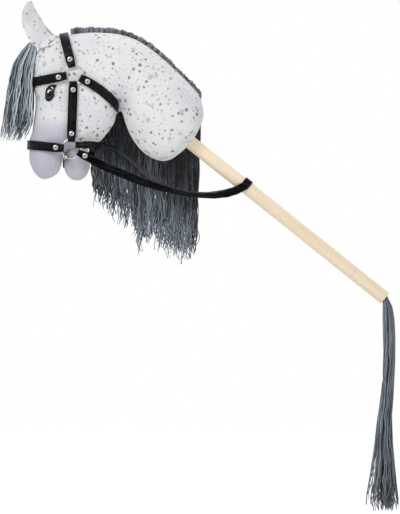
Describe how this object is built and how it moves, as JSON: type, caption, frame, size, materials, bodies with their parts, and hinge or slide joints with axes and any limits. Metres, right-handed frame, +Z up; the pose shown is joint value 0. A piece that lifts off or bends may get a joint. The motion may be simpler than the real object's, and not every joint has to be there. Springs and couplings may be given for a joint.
{
  "type": "hobby horse",
  "caption": "Hobby horse: stuffed plush horse head with yarn mane and forelock, leather bridle and reins, on a round wooden stick with a yarn tail.",
  "frame": {"origin": "on the stick's axis, halfway along its bare length", "axes": "+Z up as the toy hangs in the picture, the horse looks along -X, its left side is at -Y, the stick slopes down towards +X"},
  "size_m": [0.732, 0.1358, 0.9425],
  "materials": {
    "beech": "fine sanded, clear matt",
    "plush": "short pile, grey spots",
    "ear_lining": "short pile",
    "fibre_fill": "loose fibre",
    "eye_thread": "satin embroidery thread",
    "mane_yarn": "wool yarn",
    "forelock_yarn": "wool yarn",
    "tail_yarn": "wool yarn",
    "black_leather": "smooth, slight sheen",
    "nickel": "polished nickel plate"
  },
  "bodies": {
    "horse": {"stick": "beech", "stick_end_piece": "beech", "head_cover": "plush", "head_stuffing": "fibre_fill", "chin_pad": "plush", "mane_band": "mane_yarn", "tail_root": "tail_yarn", "crown_strap": "black_leather", "browband": "black_leather", "throat_strap": "black_leather", "noseband": "black_leather", "chin_strap": "black_leather", "bit_mouthpiece": "nickel", "ear_left": "plush", "ear_lining_left": "ear_lining", "eye_left": "eye_thread", "cheekpiece_left": "black_leather", "rivet_crown_left": "nickel", "rivet_brow_left": "nickel", "rivet_throat_left": "nickel", "rivet_cheek_top_left": "nickel", "rivet_cheek_bottom_left": "nickel", "rivet_nose_left": "nickel", "ear_right": "plush", "ear_lining_right": "ear_lining", "eye_right": "eye_thread", "cheekpiece_right": "black_leather", "rivet_crown_right": "nickel", "rivet_brow_right": "nickel", "rivet_throat_right": "nickel", "rivet_cheek_top_right": "nickel", "rivet_cheek_bottom_right": "nickel", "rivet_nose_right": "nickel"},
    "reins": {"reins": "black_leather", "rivet_rein_left": "nickel", "rivet_rein_right": "nickel"},
    "tail": {"tail": "tail_yarn"},
    "mane": {"mane": "mane_yarn"},
    "forelock": {"forelock": "forelock_yarn"},
    "cheek_ring_left": {"cheek_ring_left": "nickel"},
    "bit_ring_left": {"bit_ring_left": "nickel"},
    "cheek_ring_right": {"cheek_ring_right": "nickel"},
    "bit_ring_right": {"bit_ring_right": "nickel"}
  },
  "joints": [
    {"name": "rein_lift", "type": "hinge", "parent": "horse", "child": "reins", "pos_m": [-0.401, 0, 0.132], "axis": [0, -1, 0], "range_deg": [0, 8]},
    {"name": "tail_swing", "type": "hinge", "parent": "horse", "child": "tail", "pos_m": [0.18457, 0, -0.14787], "axis": [0, -1, 0], "range_deg": [-20, 45]},
    {"name": "mane_swing", "type": "hinge", "parent": "horse", "child": "mane", "pos_m": [-0.247, 0.008, 0.332], "axis": [0.8156, 0, -0.5786], "range_deg": [0, 25]},
    {"name": "forelock_swing", "type": "hinge", "parent": "horse", "child": "forelock", "pos_m": [-0.478, 0, 0.329], "axis": [0, 1, 0], "range_deg": [0, 35]},
    {"name": "cheek_ring_left_turn", "type": "hinge", "parent": "horse", "child": "cheek_ring_left", "pos_m": [-0.396, -0.05723, 0.27], "axis": [0, 1, 0], "continuous": true},
    {"name": "cheek_ring_right_turn", "type": "hinge", "parent": "horse", "child": "cheek_ring_right", "pos_m": [-0.396, 0.05723, 0.27], "axis": [0, 1, 0], "continuous": true},
    {"name": "bit_ring_left_turn", "type": "hinge", "parent": "horse", "child": "bit_ring_left", "pos_m": [-0.401, -0.05017, 0.132], "axis": [0, 1, 0], "continuous": true},
    {"name": "bit_ring_right_turn", "type": "hinge", "parent": "horse", "child": "bit_ring_right", "pos_m": [-0.401, 0.05017, 0.132], "axis": [0, 1, 0], "continuous": true}
  ]
}
